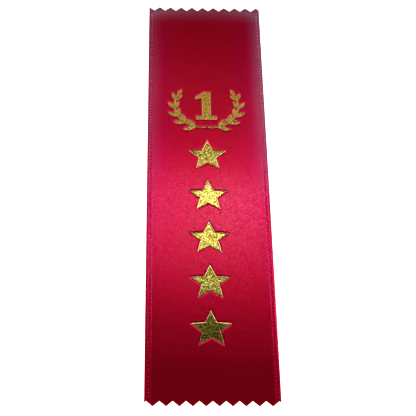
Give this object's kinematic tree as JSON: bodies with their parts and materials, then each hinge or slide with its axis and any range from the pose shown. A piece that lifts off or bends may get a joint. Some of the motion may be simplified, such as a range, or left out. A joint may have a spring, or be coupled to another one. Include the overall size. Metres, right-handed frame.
{
  "type": "award ribbon",
  "caption": "Flat satin award ribbon with pinked ends, woven selvedges and gold foil devices: a numeral in a laurel above a column of stars.",
  "frame": {"origin": "middle of the ribbon's underside, where it rests when it lies flat with its printed face up", "axes": "+X across the ribbon to the reader's right, +Y along it towards the top end above the numeral, +Z out of the printed face"},
  "size_m": [0.0508, 0.2032, 0.0004],
  "materials": {
    "satin": "crimson acetate satin, warp-faced, glossy face and matt back",
    "gold_foil": "gold hot-stamping foil, bright but mottled by the weave under it"
  },
  "bodies": {
    "root": {"satin_strip": "satin", "foil_numeral": "gold_foil", "foil_laurel_left": "gold_foil", "foil_laurel_right": "gold_foil", "foil_star_1": "gold_foil", "foil_star_2": "gold_foil", "foil_star_3": "gold_foil", "foil_star_4": "gold_foil", "foil_star_5": "gold_foil"}
  },
  "joints": []
}
